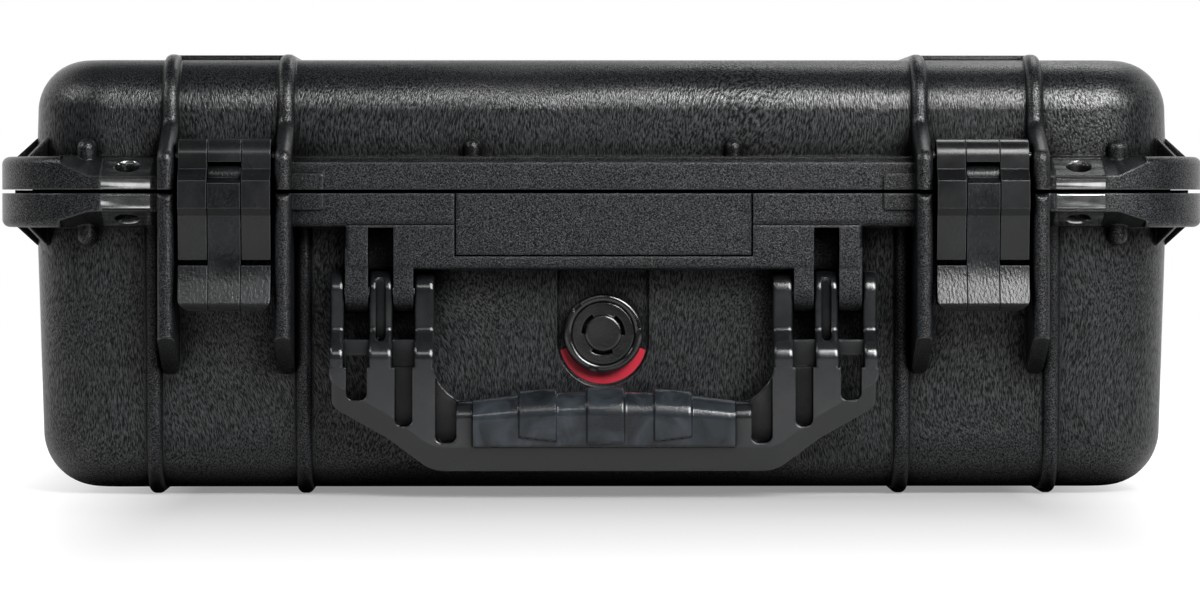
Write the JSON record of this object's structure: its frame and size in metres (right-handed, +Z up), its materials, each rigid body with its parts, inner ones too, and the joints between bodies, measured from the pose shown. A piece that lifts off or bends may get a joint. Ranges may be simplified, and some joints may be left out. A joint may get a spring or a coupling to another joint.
{
  "type": "protective hard case",
  "caption": "Black moulded protective hard case with a hinged lid, double-throw latches, a folding handle, a vent valve and steel padlock eyes.",
  "frame": {"origin": "on the floor under the middle of the closed case", "axes": "+X to the right along the front, +Y from the front to the hinges, +Z up"},
  "size_m": [0.47, 0.357, 0.172],
  "materials": {
    "shell_black": "grained moulded polypropylene",
    "latch_black": "smooth satin nylon",
    "handle_black": "smooth semi-gloss nylon",
    "grip_rubber": "satin rubber over-moulding",
    "seal_rubber": "soft matt rubber",
    "stainless": "polished stainless sheet and pins",
    "valve_black": "semi-gloss moulded nylon",
    "membrane_white": "matt porous film",
    "label_red": "bare satin red film",
    "foam_grey": "open-cell polyurethane foam"
  },
  "bodies": {
    "case_base": {"base_shell": "shell_black", "base_lock_plate_left": "stainless", "base_lock_plate_right": "stainless", "handle_pin_left": "stainless", "handle_pin_right": "stainless", "hinge_pin_left": "stainless", "hinge_pin_right": "stainless", "valve_body": "valve_black", "valve_cap": "valve_black", "valve_gasket": "seal_rubber", "valve_nut": "valve_black", "valve_membrane": "membrane_white", "valve_label": "label_red", "base_foam_pad": "foam_grey", "base_foam_lower": "foam_grey", "base_foam_upper": "foam_grey"},
    "lid": {"lid_shell": "shell_black", "lid_seal": "seal_rubber", "lid_lock_plate_left": "stainless", "lid_lock_plate_right": "stainless", "latch_pivot_pin_left": "stainless", "latch_pivot_pin_right": "stainless", "lid_foam": "foam_grey"},
    "handle": {"handle_frame": "handle_black", "handle_grip": "grip_rubber"},
    "latch_left": {"latch_body_left": "latch_black", "latch_lever_pin_left": "stainless"},
    "lever_left": {"latch_lever_left": "latch_black"},
    "latch_right": {"latch_body_right": "latch_black", "latch_lever_pin_right": "stainless"},
    "lever_right": {"latch_lever_right": "latch_black"}
  },
  "joints": [
    {"name": "lid_hinge", "type": "hinge", "parent": "case_base", "child": "lid", "pos_m": [0, 0.171, 0.1184], "axis": [-1, 0, 0], "range_deg": [0, 100]},
    {"name": "handle_swing", "type": "hinge", "parent": "case_base", "child": "handle", "pos_m": [0, -0.158, 0.08], "axis": [-1, 0, 0], "range_deg": [0, 90]},
    {"name": "latch_swing_left", "type": "hinge", "parent": "lid", "child": "latch_left", "pos_m": [-0.1452, -0.1674, 0.1321], "axis": [-1, 0, 0], "range_deg": [0, 110]},
    {"name": "lever_swing_left", "type": "hinge", "parent": "latch_left", "child": "lever_left", "pos_m": [-0.1452, -0.1695, 0.1242], "axis": [-1, 0, 0], "range_deg": [0, 55]},
    {"name": "latch_swing_right", "type": "hinge", "parent": "lid", "child": "latch_right", "pos_m": [0.1452, -0.1674, 0.1321], "axis": [-1, 0, 0], "range_deg": [0, 110]},
    {"name": "lever_swing_right", "type": "hinge", "parent": "latch_right", "child": "lever_right", "pos_m": [0.1452, -0.1695, 0.1242], "axis": [-1, 0, 0], "range_deg": [0, 55]}
  ]
}
